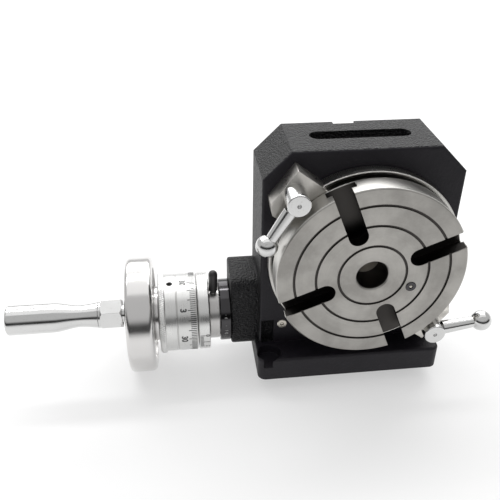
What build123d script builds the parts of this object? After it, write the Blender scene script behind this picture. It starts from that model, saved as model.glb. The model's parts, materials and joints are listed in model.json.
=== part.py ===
"""Small worm-driven rotary table standing on its foot, with its table face upright.

Frame: +Z up, +X right and -Y towards the person who faces the table. The origin lies on the
foot's seat, under the spindle axis, in the plane that holds the worm's axis. All in millimetres.
"""

from build123d import *
from math import atan, cos, degrees, pi, radians, sin, tan
import os

os.makedirs("parts", exist_ok=True)

# ---------------------------------------------------------------- driving dimensions
CENTRE_HEIGHT = 80.0  # spindle axis above the foot's seat
TABLE_DIAMETER = 110.0
FACE_AT = 48.0  # table face in front of the worm plane
BACK_AT = 18.0  # rear seat behind the worm plane
MODULE = 1.0
WHEEL_TEETH = 90
WORM_PITCH_R = 8.0
RUNNING = 0.05  # radial clearance of a running fit
APART = 0.4  # gap between faces that pass each other
DRIVER_SLOT = 0.7  # width of a screwdriver slot
DRIVER_SLOT_DEPTH = 0.45

# ---------------------------------------------------------------- derived dimensions
TABLE_R = TABLE_DIAMETER / 2
WHEEL_PITCH_R = WHEEL_TEETH * MODULE / 2
CENTRE_DISTANCE = WHEEL_PITCH_R + WORM_PITCH_R
WORM_HEIGHT = CENTRE_HEIGHT - CENTRE_DISTANCE
LEAD = pi * MODULE
LEAD_ANGLE = degrees(atan(LEAD / (2 * pi * WORM_PITCH_R)))
PRESSURE_ANGLE = radians(20)
FROM_BASE = (Align.CENTER, Align.CENTER, Align.MIN)

# ---------------------------------------------------------------- planes and axes
# Sketches on SPINDLE lie in X and Z, and its offset counts forward, towards -Y.
SPINDLE = Plane(origin=(0, 0, CENTRE_HEIGHT), x_dir=(1, 0, 0), z_dir=(0, -1, 0))
# Profiles on SPINDLE_SIDE are (radius, distance forward).
SPINDLE_SIDE = Plane(origin=(0, 0, CENTRE_HEIGHT), x_dir=(1, 0, 0), z_dir=(0, 0, -1))
SPINDLE_AXIS = Axis((0, 0, CENTRE_HEIGHT), (0, -1, 0))
# Sketches on WORM lie in Y and Z, and its offset is the X station.
WORM = Plane(origin=(0, 0, WORM_HEIGHT), x_dir=(0, 1, 0), z_dir=(1, 0, 0))
# Profiles on WORM_SIDE are (X station, radius).
WORM_SIDE = Plane(origin=(0, 0, WORM_HEIGHT), x_dir=(1, 0, 0), z_dir=(0, -1, 0))
WORM_AXIS = Axis((0, 0, WORM_HEIGHT), (1, 0, 0))

# The sleeve turns about an axis beside the worm's, so turning it lowers the worm out of mesh.
ECCENTRICITY = 1.8
ECCENTRIC_SHIFT = ECCENTRICITY * cos(radians(45))
SLEEVE_Y = ECCENTRIC_SHIFT
SLEEVE_Z = WORM_HEIGHT - ECCENTRIC_SHIFT
SLEEVE = Plane(origin=(0, SLEEVE_Y, SLEEVE_Z), x_dir=(0, 1, 0), z_dir=(1, 0, 0))

# The handle stands on the handwheel, forward of and above the worm's axis.
HANDLE_OFFSET = 26.0
HANDLE_ANGLE = radians(50)
HANDLE_Y = -HANDLE_OFFSET * sin(HANDLE_ANGLE)
HANDLE_Z = WORM_HEIGHT + HANDLE_OFFSET * cos(HANDLE_ANGLE)
HANDLE = Plane(origin=(0, HANDLE_Y, HANDLE_Z), x_dir=(0, 1, 0), z_dir=(1, 0, 0))
HANDLE_SIDE = Plane(origin=(0, HANDLE_Y, HANDLE_Z), x_dir=(1, 0, 0), z_dir=(0, -1, 0))
HANDLE_AXIS = Axis((0, HANDLE_Y, HANDLE_Z), (1, 0, 0))


def rod(plane, start, length, radius, mode=Mode.ADD):
    """A cylinder along a plane's normal, from a station on it, in the open part builder."""
    with Locations(plane.offset(start)):
        Cylinder(radius, length, align=FROM_BASE, mode=mode)


# ---------------------------------------------------------------- body casting
BODY_FRONT = 23.0  # forward of the worm plane
BODY_LEFT = -60.0
BODY_RIGHT = 56.0
BODY_TOP = 146.0
CORNER_CUT = 16.0  # of the two upper corners
WAIST_TOP = 36.0  # below this the right side leans in to the foot
FOOT_LEFT = -62.5
FOOT_RIGHT = 53.0
FOOT_FRONT = 40.5
FOOT_HEIGHT = 15.5
FOOT_CORNER = 5.0
CAST_EDGE = 1.6
HOUSING_END = -77.0
HOUSING_FRONT = 16.5
HOUSING_TOP = 58.0
HOUSING_BOTTOM = 8.5
HOUSING_EDGE = 3.0
HOUSING_LOW_EDGE = 6.0
CHAMBER_R = 48.0
CHAMBER_FRONT = 7.2
CHAMBER_BACK = 14.9
COVER_R = 53.0
COVER_THICKNESS = 2.9
COVER_SCREW_COUNT = 6
COVER_SCREW_PCR = 50.4
COVER_SCREW_R = 1.5
COVER_SCREW_HEAD_R = 2.2
COVER_SCREW_LENGTH = 6.0
COVER_HOLE_DEPTH = 3.9
BUSH_R = 27.0
JOURNAL_R = 23.0
SLEEVE_R = 13.0
SLEEVE_END = 37.0
TUNNEL_END = 38.5
TOP_SLOT_LEFT = -31.0
TOP_SLOT_RIGHT = 28.0
TOP_SLOT_WIDTH = 11.0
TOP_SLOT_AT = 1.5
TOP_SLOT_DEPTH = 12.0
KEYWAY_LEFT = -13.5
KEYWAY_RIGHT = -0.5
KEYWAY_DEPTH = 3.0
POCKET_X = -55.0
POCKET_FORWARD = 33.0
POCKET_R = 7.5
POCKET_DEPTH = 6.0
POCKET_MOUTH = 5.5
POCKET_MOUTH_X = -56.5
RELIEF_R = 4.0
RELIEF_FORWARD = 22.0
RELIEF_TOP = 33.0
CLAMP_X = 44.0
CLAMP_Z = 46.7  # above and below the spindle axis
CLAMP_SHANK_R = 4.0
CLAMP_HOLE_DEPTH = 10.5
OILER_X = -45.9
OILER_Z = CENTRE_HEIGHT - 50.2
OILER_BODY_R = 2.4
OILER_DEPTH = 5.0
RING_SCREW_R = 1.5
RING_SCREW_PCR = 16.2
RING_SCREW_LENGTH = 11.0
RING_SCREW_HEAD_R = 2.6
RING_SCREW_COUNT = 3

body_depth = BODY_FRONT + BACK_AT
foot_depth = FOOT_FRONT + BACK_AT
foot_width = FOOT_RIGHT - FOOT_LEFT
REAR_WALL = Plane(origin=(0, BACK_AT, 0), x_dir=(1, 0, 0), z_dir=(0, -1, 0))

with BuildPart() as body_casting:
    with BuildSketch() as foot_outline:
        with Locations(((FOOT_LEFT + FOOT_RIGHT) / 2, (BACK_AT - FOOT_FRONT) / 2)):
            Rectangle(foot_width, foot_depth)
        fillet(foot_outline.vertices().group_by(Axis.Y)[0], FOOT_CORNER)
    extrude(amount=FOOT_HEIGHT)
    fillet(body_casting.faces().sort_by(Axis.Z)[-1].edges(), CAST_EDGE)
    with BuildSketch(REAR_WALL):
        with BuildLine():
            Polyline(
                (BODY_LEFT, 0),
                (BODY_LEFT, BODY_TOP - CORNER_CUT),
                (BODY_LEFT + CORNER_CUT, BODY_TOP),
                (BODY_RIGHT - CORNER_CUT, BODY_TOP),
                (BODY_RIGHT, BODY_TOP - CORNER_CUT),
                (BODY_RIGHT, WAIST_TOP),
                (FOOT_RIGHT - CAST_EDGE, FOOT_HEIGHT),
                (FOOT_RIGHT - CAST_EDGE, 0),
                close=True,
            )
        make_face()
    extrude(amount=body_depth)
    upper_edges = body_casting.edges().filter_by_position(Axis.Z, WAIST_TOP + 1, BODY_TOP)
    fillet(upper_edges.filter_by_position(Axis.Y, -BODY_FRONT, -BODY_FRONT), CAST_EDGE)
    housing_span = BODY_LEFT - HOUSING_END
    with BuildSketch(Plane.YZ.offset(HOUSING_END)) as housing_outline:
        with Locations(((BACK_AT - HOUSING_FRONT) / 2, (HOUSING_TOP + HOUSING_BOTTOM) / 2)):
            Rectangle(BACK_AT + HOUSING_FRONT, HOUSING_TOP - HOUSING_BOTTOM)
        corners = housing_outline.vertices().group_by(Axis.Z)
        fillet(corners[0], HOUSING_LOW_EDGE)
        fillet(corners[-1].sort_by(Axis.Y)[0], HOUSING_EDGE)
    extrude(amount=housing_span + 1)
    fillet(body_casting.faces().sort_by(Axis.X)[0].edges(), HOUSING_EDGE / 2)

    # Spindle bearing web, wheel chamber and the recess of the rear cover.
    rod(SPINDLE, -BACK_AT, body_depth, BUSH_R, Mode.SUBTRACT)
    rod(SPINDLE, -CHAMBER_BACK, CHAMBER_BACK + CHAMBER_FRONT, CHAMBER_R, Mode.SUBTRACT)
    rod(SPINDLE, -BACK_AT, BACK_AT - CHAMBER_BACK, COVER_R, Mode.SUBTRACT)
    with BuildSketch(SPINDLE.offset(-CHAMBER_BACK)):
        with PolarLocations(COVER_SCREW_PCR, COVER_SCREW_COUNT):
            Circle(COVER_SCREW_R)
    extrude(amount=COVER_HOLE_DEPTH, mode=Mode.SUBTRACT)

    # Tunnel of the eccentric sleeve, and the tapped holes of the ring on its mouth.
    rod(SLEEVE, HOUSING_END, TUNNEL_END - HOUSING_END, SLEEVE_R + RUNNING, Mode.SUBTRACT)
    with BuildSketch(SLEEVE.offset(HOUSING_END)):
        with PolarLocations(RING_SCREW_PCR, RING_SCREW_COUNT, start_angle=90):
            Circle(RING_SCREW_R)
    extrude(amount=RING_SCREW_LENGTH, mode=Mode.SUBTRACT)

    # Long closed slot in the top.
    with BuildSketch(Plane.XY.offset(BODY_TOP)):
        with Locations(((TOP_SLOT_LEFT + TOP_SLOT_RIGHT) / 2, -TOP_SLOT_AT)):
            SlotOverall(TOP_SLOT_RIGHT - TOP_SLOT_LEFT, TOP_SLOT_WIDTH)
    extrude(amount=-TOP_SLOT_DEPTH, mode=Mode.SUBTRACT)

    # Keyway down the rear seat.
    with BuildSketch(REAR_WALL):
        with Locations(((KEYWAY_LEFT + KEYWAY_RIGHT) / 2, BODY_TOP / 2)):
            Rectangle(KEYWAY_RIGHT - KEYWAY_LEFT, BODY_TOP)
    extrude(amount=KEYWAY_DEPTH, mode=Mode.SUBTRACT)

    # Clamp seat in the foot's front left corner, with its mouth and the relief above it.
    with BuildSketch(Plane.XY.offset(FOOT_HEIGHT)):
        with Locations((POCKET_X, -POCKET_FORWARD)):
            Circle(POCKET_R)
        with Locations((POCKET_MOUTH_X, -POCKET_FORWARD - POCKET_R)):
            Rectangle(POCKET_MOUTH, 2 * POCKET_R)
    extrude(amount=-POCKET_DEPTH, mode=Mode.SUBTRACT)
    with BuildSketch(Plane.XY.offset(FOOT_HEIGHT)):
        with Locations((POCKET_X, -RELIEF_FORWARD)):
            Circle(RELIEF_R)
    extrude(amount=RELIEF_TOP - FOOT_HEIGHT, mode=Mode.SUBTRACT)

    # Tapped holes of the clamp bolts and the oiler's hole.
    with BuildSketch(SPINDLE.offset(BODY_FRONT)):
        with Locations((-CLAMP_X, CLAMP_Z), (CLAMP_X, -CLAMP_Z)):
            Circle(CLAMP_SHANK_R)
    extrude(amount=-CLAMP_HOLE_DEPTH, mode=Mode.SUBTRACT)
    with BuildSketch(SPINDLE.offset(BODY_FRONT)):
        with Locations((OILER_X, OILER_Z - CENTRE_HEIGHT)):
            Circle(OILER_BODY_R)
    extrude(amount=-OILER_DEPTH, mode=Mode.SUBTRACT)
body_casting.part.label = "body_casting"
export_step(body_casting.part, "parts/body_casting.step")

# ---------------------------------------------------------------- spindle bush and rear cover
bush_length = BODY_FRONT - CHAMBER_FRONT
with BuildPart() as spindle_bush:
    rod(SPINDLE, CHAMBER_FRONT, bush_length, BUSH_R)
    rod(SPINDLE, CHAMBER_FRONT, bush_length, JOURNAL_R, Mode.SUBTRACT)
spindle_bush.part.label = "spindle_bush"
export_step(spindle_bush.part, "parts/spindle_bush.step")

COVER_HOLE_R = 21.0
COVER_RIM_GAP = 0.15
cover_sink = COVER_SCREW_HEAD_R - COVER_SCREW_R
with BuildPart() as rear_cover:
    rod(SPINDLE, -CHAMBER_BACK - COVER_THICKNESS, COVER_THICKNESS, COVER_R - COVER_RIM_GAP)
    rod(SPINDLE, -CHAMBER_BACK - COVER_THICKNESS, COVER_THICKNESS, COVER_HOLE_R, Mode.SUBTRACT)
    with BuildSketch(REAR_WALL):
        with Locations(((KEYWAY_LEFT + KEYWAY_RIGHT) / 2, BODY_TOP / 2)):
            Rectangle(KEYWAY_RIGHT - KEYWAY_LEFT, BODY_TOP)
    extrude(amount=KEYWAY_DEPTH / 2, mode=Mode.SUBTRACT)
    with Locations(SPINDLE.offset(-CHAMBER_BACK - COVER_THICKNESS)):
        with PolarLocations(COVER_SCREW_PCR, COVER_SCREW_COUNT):
            Cylinder(COVER_SCREW_R, 2 * COVER_THICKNESS, mode=Mode.SUBTRACT)
            Cone(COVER_SCREW_HEAD_R, COVER_SCREW_R, cover_sink, align=FROM_BASE, mode=Mode.SUBTRACT)
rear_cover.part.label = "rear_cover"
export_step(rear_cover.part, "parts/rear_cover.step")

with BuildPart() as rear_cover_screws:
    with Locations(SPINDLE.offset(-CHAMBER_BACK - COVER_THICKNESS)):
        with PolarLocations(COVER_SCREW_PCR, COVER_SCREW_COUNT):
            Cylinder(COVER_SCREW_R, COVER_SCREW_LENGTH, align=FROM_BASE)
            Cone(COVER_SCREW_HEAD_R, COVER_SCREW_R, cover_sink, align=FROM_BASE)
            Box(DRIVER_SLOT, 2 * COVER_SCREW_HEAD_R, 2 * DRIVER_SLOT_DEPTH, mode=Mode.SUBTRACT)
rear_cover_screws.part.label = "rear_cover_screws"
export_step(rear_cover_screws.part, "parts/rear_cover_screws.step")

# ---------------------------------------------------------------- table
TABLE_THICKNESS = 13.0
FACE_EDGE = 0.8
NECK_R = 50.5
NECK_LENGTH = 4.0
SCALE_R = 56.5
SCALE_EDGE = 0.4
SEAT_R = 17.0
THREAD_R = 15.0
SEAT_BACK = -6.3
SPINDLE_BACK = -14.0
BORE_MOUTH_R = 17.78 / 2  # number 2 taper
BORE_TAPER = 0.04995 / 2  # radius lost along each millimetre
BORE_CHAMFER = 0.9
DRAW_BAR_R = 7.6
GROOVE_RADII = (44.8, 32.4, 19.6)
GROOVE_WIDTH = 1.5
GROOVE_DEPTH = 0.8
SLOT_COUNT = 4
SLOT_ANGLE = 22.0
SLOT_WIDTH = 11.0
SLOT_FOOT_WIDTH = 17.0
SLOT_DEPTH = 12.0
SLOT_FOOT_HEIGHT = 5.5
SLOT_INNER_R = 22.5
TABLE_OILER_R = 25.0
TABLE_OILER_ANGLE = -21.1
WHEEL_KEY_WIDTH = 5.0
WHEEL_KEY_HEIGHT = 5.0
WHEEL_KEY_LENGTH = 10.0

rim_back = FACE_AT - TABLE_THICKNESS
neck_back = rim_back - NECK_LENGTH
scale_back = BODY_FRONT + APART
taper_length = (BORE_MOUTH_R - DRAW_BAR_R) / BORE_TAPER
table_outline = [
    (BORE_MOUTH_R + BORE_CHAMFER, FACE_AT),
    (TABLE_R - FACE_EDGE, FACE_AT),
    (TABLE_R, FACE_AT - FACE_EDGE),
    (TABLE_R, rim_back + SCALE_EDGE),
    (TABLE_R - SCALE_EDGE, rim_back),
    (NECK_R, rim_back),
    (NECK_R, neck_back),
    (SCALE_R - SCALE_EDGE, neck_back),
    (SCALE_R, neck_back - SCALE_EDGE),
    (SCALE_R, scale_back),
    (JOURNAL_R - RUNNING, scale_back),
    (JOURNAL_R - RUNNING, CHAMBER_FRONT - APART),
    (SEAT_R, CHAMBER_FRONT - APART),
    (SEAT_R, SEAT_BACK),
    (THREAD_R, SEAT_BACK),
    (THREAD_R, SPINDLE_BACK),
    (DRAW_BAR_R, SPINDLE_BACK),
    (DRAW_BAR_R, FACE_AT - taper_length),
    (BORE_MOUTH_R, FACE_AT - BORE_CHAMFER),
]
with BuildPart() as table_plate:
    with BuildSketch(SPINDLE_SIDE):
        with BuildLine():
            Polyline(*table_outline, close=True)
        make_face()
    revolve(axis=SPINDLE_AXIS)
    with BuildSketch(SPINDLE.offset(FACE_AT)):
        for groove_r in GROOVE_RADII:
            Circle(groove_r + GROOVE_WIDTH / 2)
            Circle(groove_r - GROOVE_WIDTH / 2, mode=Mode.SUBTRACT)
    extrude(amount=-GROOVE_DEPTH, mode=Mode.SUBTRACT)
    slot_end = SLOT_INNER_R + SLOT_WIDTH / 2
    slot_reach = TABLE_R + SLOT_FOOT_WIDTH - slot_end
    with Locations(SPINDLE.offset(FACE_AT)):
        with PolarLocations(slot_end, SLOT_COUNT, start_angle=SLOT_ANGLE):
            Cylinder(SLOT_WIDTH / 2, 2 * SLOT_DEPTH, mode=Mode.SUBTRACT)
            Box(
                slot_reach,
                SLOT_WIDTH,
                2 * SLOT_DEPTH,
                align=(Align.MIN, Align.CENTER, Align.CENTER),
                mode=Mode.SUBTRACT,
            )
    with Locations(SPINDLE.offset(FACE_AT - SLOT_DEPTH)):
        with PolarLocations(slot_end, SLOT_COUNT, start_angle=SLOT_ANGLE):
            Cylinder(SLOT_FOOT_WIDTH / 2, SLOT_FOOT_HEIGHT, align=FROM_BASE, mode=Mode.SUBTRACT)
            Box(
                slot_reach,
                SLOT_FOOT_WIDTH,
                SLOT_FOOT_HEIGHT,
                align=(Align.MIN, Align.CENTER, Align.MIN),
                mode=Mode.SUBTRACT,
            )
    with Locations(SPINDLE.offset(FACE_AT)):
        with PolarLocations(TABLE_OILER_R, 1, start_angle=TABLE_OILER_ANGLE):
            Cylinder(OILER_BODY_R, 2 * OILER_DEPTH, mode=Mode.SUBTRACT)
    with Locations(SPINDLE):
        with Locations((0, SEAT_R, 0)):
            Box(WHEEL_KEY_WIDTH, WHEEL_KEY_HEIGHT, WHEEL_KEY_LENGTH, mode=Mode.SUBTRACT)
table_plate.part.label = "table_plate"
export_step(table_plate.part, "parts/table_plate.step")

# ---------------------------------------------------------------- worm wheel and its fastenings
WHEEL_R = WHEEL_PITCH_R + MODULE
WHEEL_WIDTH = 12.0
WEB_RECESS = 2.0
WEB_INNER_R = 24.0
WEB_OUTER_R = 39.5
GASH_WIDTH = 1.9  # at the pitch circle
GASH_BELOW = 1.3
GASH_ABOVE = 1.6
gash_bottom = GASH_WIDTH - 2 * GASH_BELOW * tan(PRESSURE_ANGLE)
gash_top = GASH_WIDTH + 2 * GASH_ABOVE * tan(PRESSURE_ANGLE)
with BuildPart() as tooth_gash:
    with BuildSketch(Plane.XY.offset(-WHEEL_WIDTH)):
        with BuildLine():
            Polyline(
                (WHEEL_PITCH_R - GASH_BELOW, -gash_bottom / 2),
                (WHEEL_PITCH_R + GASH_ABOVE, -gash_top / 2),
                (WHEEL_PITCH_R + GASH_ABOVE, gash_top / 2),
                (WHEEL_PITCH_R - GASH_BELOW, gash_bottom / 2),
                close=True,
            )
        make_face()
    extrude(amount=2 * WHEEL_WIDTH)
slanted_gash = tooth_gash.part.rotate(Axis.X, -LEAD_ANGLE)
with BuildPart() as worm_wheel:
    rod(SPINDLE, -WHEEL_WIDTH / 2, WHEEL_WIDTH, WHEEL_R)
    rod(SPINDLE, -WHEEL_WIDTH / 2, WHEEL_WIDTH, SEAT_R, Mode.SUBTRACT)
    for face_at in (WHEEL_WIDTH / 2 - WEB_RECESS, -WHEEL_WIDTH / 2):
        with BuildSketch(SPINDLE.offset(face_at)):
            Circle(WEB_OUTER_R)
            Circle(WEB_INNER_R, mode=Mode.SUBTRACT)
        extrude(amount=WEB_RECESS, mode=Mode.SUBTRACT)
    with Locations(SPINDLE):
        with PolarLocations(0, WHEEL_TEETH, start_angle=-90):
            add(slanted_gash, mode=Mode.SUBTRACT)
        with Locations((0, SEAT_R, 0)):
            Box(WHEEL_KEY_WIDTH, WHEEL_KEY_HEIGHT, 2 * WHEEL_WIDTH, mode=Mode.SUBTRACT)
worm_wheel.part.label = "worm_wheel"
export_step(worm_wheel.part, "parts/worm_wheel.step")

with BuildPart() as wheel_key:
    with Locations(SPINDLE):
        with Locations((0, SEAT_R, 0)):
            Box(WHEEL_KEY_WIDTH, WHEEL_KEY_HEIGHT, WHEEL_KEY_LENGTH)
wheel_key.part.label = "wheel_key"
export_step(wheel_key.part, "parts/wheel_key.step")

NUT_R = 20.0
NUT_SLOT = 4.0
NUT_LENGTH = 6.0
with BuildPart() as spindle_nut:
    rod(SPINDLE, SEAT_BACK - NUT_LENGTH, NUT_LENGTH, NUT_R)
    rod(SPINDLE, SEAT_BACK - NUT_LENGTH, NUT_LENGTH, THREAD_R, Mode.SUBTRACT)
    with Locations(SPINDLE.offset(SEAT_BACK - NUT_LENGTH)):
        with PolarLocations(NUT_R, 4, start_angle=45):
            Box(2 * NUT_SLOT, NUT_SLOT, 2 * NUT_LENGTH, mode=Mode.SUBTRACT)
spindle_nut.part.label = "spindle_nut"
export_step(spindle_nut.part, "parts/spindle_nut.step")

# ---------------------------------------------------------------- ring on the housing's mouth
RING_R = 20.0
RING_THICKNESS = 7.0
RING_EDGE = 0.6
ring_end = HOUSING_END - RING_THICKNESS
ring_sink = RING_SCREW_HEAD_R - RING_SCREW_R
with BuildPart() as housing_ring:
    rod(SLEEVE, ring_end, RING_THICKNESS, RING_R)
    chamfer(housing_ring.edges(), RING_EDGE)
    rod(SLEEVE, ring_end, RING_THICKNESS, SLEEVE_R + RUNNING, Mode.SUBTRACT)
    with Locations(SLEEVE.offset(ring_end)):
        with PolarLocations(RING_SCREW_PCR, RING_SCREW_COUNT, start_angle=90):
            Cylinder(RING_SCREW_R, 3 * RING_THICKNESS, mode=Mode.SUBTRACT)
            Cone(RING_SCREW_HEAD_R, RING_SCREW_R, ring_sink, align=FROM_BASE, mode=Mode.SUBTRACT)
housing_ring.part.label = "housing_ring"
export_step(housing_ring.part, "parts/housing_ring.step")

with BuildPart() as housing_ring_screws:
    with Locations(SLEEVE.offset(ring_end)):
        with PolarLocations(RING_SCREW_PCR, RING_SCREW_COUNT, start_angle=90):
            Cylinder(RING_SCREW_R, RING_THICKNESS + RING_SCREW_LENGTH - 1.0, align=FROM_BASE)
            Cone(RING_SCREW_HEAD_R, RING_SCREW_R, ring_sink, align=FROM_BASE)
            Box(DRIVER_SLOT, 2 * RING_SCREW_HEAD_R, 2 * DRIVER_SLOT_DEPTH, mode=Mode.SUBTRACT)
housing_ring_screws.part.label = "housing_ring_screws"
export_step(housing_ring_screws.part, "parts/housing_ring_screws.step")

# ---------------------------------------------------------------- eccentric sleeve and its lever
FLANGE_R = 18.2
FLANGE_THICKNESS = 6.3
SPIGOT_R = 16.0
SPIGOT_LENGTH = 4.0
SLEEVE_BORE_R = 9.5
WINDOW_HALF = 26.0
WINDOW_FRONT = 49.0  # degrees of window forward of the top
WINDOW_REAR = 139.0
LEVER_ANGLE = 15.0  # degrees forward of upright
LEVER_PIN_R = 1.6
LEVER_DEPTH = 5.0
LEVER_TIP_R = 38.0
LEVER_GRIP_R = 2.75
VERNIER_R = 24.8
VERNIER_LENGTH = 7.1
VERNIER_BORE_R = 10.5
VERNIER_SCREW_R = 1.0
VERNIER_SCREW_PCR = 13.0
VERNIER_SCREW_COUNT = 3
VERNIER_SCREW_HEAD = 1.5

flange_right = ring_end - APART
flange_left = flange_right - FLANGE_THICKNESS
flange_middle = (flange_left + flange_right) / 2
spigot_left = flange_left - SPIGOT_LENGTH
LEVER = Plane(
    origin=(flange_middle, SLEEVE_Y, SLEEVE_Z),
    x_dir=(1, 0, 0),
    z_dir=(0, -sin(radians(LEVER_ANGLE)), cos(radians(LEVER_ANGLE))),
)
LEVER_SIDE = Plane(origin=LEVER.origin, x_dir=LEVER.z_dir, z_dir=LEVER.y_dir)
LEVER_AXIS = Axis(LEVER.origin, LEVER.z_dir)
with BuildPart() as eccentric_sleeve:
    rod(SLEEVE, flange_left, SLEEVE_END - flange_left, SLEEVE_R)
    rod(SLEEVE, flange_left, FLANGE_THICKNESS, FLANGE_R)
    chamfer(eccentric_sleeve.edges().group_by(Axis.X)[0], RING_EDGE)
    rod(WORM, spigot_left, SPIGOT_LENGTH, SPIGOT_R)
    rod(WORM, spigot_left, SLEEVE_END - spigot_left, SLEEVE_BORE_R, Mode.SUBTRACT)
    with BuildSketch(SLEEVE.offset(-WINDOW_HALF)):
        with BuildLine():
            rim = CenterArc((0, 0), 2 * SLEEVE_R, 90 - WINDOW_REAR, WINDOW_REAR + WINDOW_FRONT)
            Line(rim @ 1, (0, 0))
            Line((0, 0), rim @ 0)
        make_face()
    extrude(amount=2 * WINDOW_HALF, mode=Mode.SUBTRACT)
    rod(LEVER, FLANGE_R - LEVER_DEPTH, 2 * LEVER_DEPTH, LEVER_PIN_R, Mode.SUBTRACT)
    with Locations(WORM.offset(spigot_left)):
        with PolarLocations(VERNIER_SCREW_PCR, VERNIER_SCREW_COUNT, start_angle=30):
            Cylinder(VERNIER_SCREW_R, 2 * SPIGOT_LENGTH, mode=Mode.SUBTRACT)
eccentric_sleeve.part.label = "eccentric_sleeve"
export_step(eccentric_sleeve.part, "parts/eccentric_sleeve.step")

with BuildPart() as sleeve_lever_pin:
    rod(LEVER, FLANGE_R - LEVER_DEPTH, LEVER_TIP_R - FLANGE_R, LEVER_PIN_R)
sleeve_lever_pin.part.label = "sleeve_lever_pin"
export_step(sleeve_lever_pin.part, "parts/sleeve_lever_pin.step")

grip_base = FLANGE_R + 0.2
pin_end = LEVER_TIP_R - LEVER_DEPTH
with BuildPart() as sleeve_lever_grip:
    with BuildSketch(LEVER_SIDE) as lever_outline:
        with Locations(((grip_base + LEVER_TIP_R) / 2, 0)):
            Rectangle(LEVER_TIP_R - grip_base, 2 * LEVER_GRIP_R)
        fillet(lever_outline.vertices().group_by(Axis.Z)[-1], LEVER_GRIP_R - 0.05)
        with Locations(((grip_base + LEVER_TIP_R) / 2, -LEVER_GRIP_R)):
            Rectangle(LEVER_TIP_R - grip_base, 2 * LEVER_GRIP_R, mode=Mode.SUBTRACT)
    revolve(axis=LEVER_AXIS)
    rod(LEVER, 0, pin_end, LEVER_PIN_R, Mode.SUBTRACT)
sleeve_lever_grip.part.label = "sleeve_lever_grip"
export_step(sleeve_lever_grip.part, "parts/sleeve_lever_grip.step")

vernier_left = flange_left - VERNIER_LENGTH
web_thickness = VERNIER_LENGTH - SPIGOT_LENGTH
with BuildPart() as vernier_ring:
    rod(WORM, vernier_left, VERNIER_LENGTH, VERNIER_R)
    chamfer(vernier_ring.edges(), RING_EDGE)
    rod(WORM, spigot_left, SPIGOT_LENGTH, SPIGOT_R, Mode.SUBTRACT)
    rod(WORM, vernier_left, web_thickness, VERNIER_BORE_R, Mode.SUBTRACT)
    with Locations(WORM.offset(vernier_left)):
        with PolarLocations(VERNIER_SCREW_PCR, VERNIER_SCREW_COUNT, start_angle=30):
            Cylinder(VERNIER_SCREW_R, 3 * web_thickness, mode=Mode.SUBTRACT)
            Cylinder(2 * VERNIER_SCREW_R, 2 * VERNIER_SCREW_HEAD, mode=Mode.SUBTRACT)
vernier_ring.part.label = "vernier_ring"
export_step(vernier_ring.part, "parts/vernier_ring.step")

with BuildPart() as vernier_screws:
    with Locations(WORM.offset(vernier_left)):
        with PolarLocations(VERNIER_SCREW_PCR, VERNIER_SCREW_COUNT, start_angle=30):
            Cylinder(VERNIER_SCREW_R, web_thickness + SPIGOT_LENGTH, align=FROM_BASE)
            Cylinder(2 * VERNIER_SCREW_R, VERNIER_SCREW_HEAD, align=FROM_BASE)
vernier_screws.part.label = "vernier_screws"
export_step(vernier_screws.part, "parts/vernier_screws.step")

# ---------------------------------------------------------------- worm shaft and its bearings
THREAD_TURNS = 10
THREAD_RELIEF = 2.0
WORM_ROOT_R = 6.75
WORM_TIP_R = WORM_PITCH_R + MODULE
TOOTH_WIDTH = 1.25  # at the pitch line
SHAFT_R = 6.0
SHAFT_LEFT = -143.0
HUB_SEAT_R = 5.5
HUB_SEAT_AT = -98.0
NUT_THREAD_R = 4.0
NUT_THREAD_AT = -137.0
COLLAR_R = 8.6
COLLAR_LENGTH = 3.5
BUSH_LENGTH = 12.0
LEFT_BUSH_END = -62.0
LEFT_BUSH_START = -84.0
THRUST_NUT_R = 9.0
THRUST_NUT_LENGTH = 5.0
THRUST_NUT_NOTCH = 2.2
KEY_WIDTH = 3.0
KEY_LENGTH = 12.0
handwheel_key_at = -128.0

thread_length = THREAD_TURNS * LEAD
tooth_root = TOOTH_WIDTH + 2 * (WORM_PITCH_R - WORM_ROOT_R) * tan(PRESSURE_ANGLE)
tooth_tip = TOOTH_WIDTH - 2 * MODULE * tan(PRESSURE_ANGLE)
tooth_sink = 0.25
right_bush_start = SLEEVE_END - BUSH_LENGTH
collar_at = LEFT_BUSH_END + APART
thread_start = (-thread_length / 2, 0, WORM_HEIGHT)
with BuildPart() as worm_shaft:
    rod(WORM, -thread_length / 2 - THREAD_RELIEF, thread_length + 2 * THREAD_RELIEF, WORM_ROOT_R)
    with BuildLine() as thread_path:
        Helix(LEAD, thread_length, WORM_ROOT_R, center=thread_start, direction=(1, 0, 0))
    path_start = thread_path.line @ 0
    with BuildSketch(Plane(origin=path_start, x_dir=(0, 0, 1), z_dir=thread_path.line % 0)):
        with BuildLine():
            Polyline(
                (-tooth_sink, -tooth_root / 2),
                (0, -tooth_root / 2),
                (WORM_TIP_R - WORM_ROOT_R, -tooth_tip / 2),
                (WORM_TIP_R - WORM_ROOT_R, tooth_tip / 2),
                (0, tooth_root / 2),
                (-tooth_sink, tooth_root / 2),
                close=True,
            )
        make_face()
    sweep(path=thread_path.line, is_frenet=True)
    rod(WORM, HUB_SEAT_AT, SLEEVE_END - 1 - HUB_SEAT_AT, SHAFT_R)
    rod(WORM, collar_at, COLLAR_LENGTH, COLLAR_R)
    rod(WORM, NUT_THREAD_AT, HUB_SEAT_AT - NUT_THREAD_AT, HUB_SEAT_R)
    rod(WORM, SHAFT_LEFT, NUT_THREAD_AT - SHAFT_LEFT, NUT_THREAD_R)
    with Locations(WORM.offset(handwheel_key_at)):
        with Locations((0, HUB_SEAT_R, 0)):
            Box(KEY_WIDTH, KEY_WIDTH, KEY_LENGTH, mode=Mode.SUBTRACT)
worm_shaft.part.label = "worm_shaft"
export_step(worm_shaft.part, "parts/worm_shaft.step")

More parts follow.
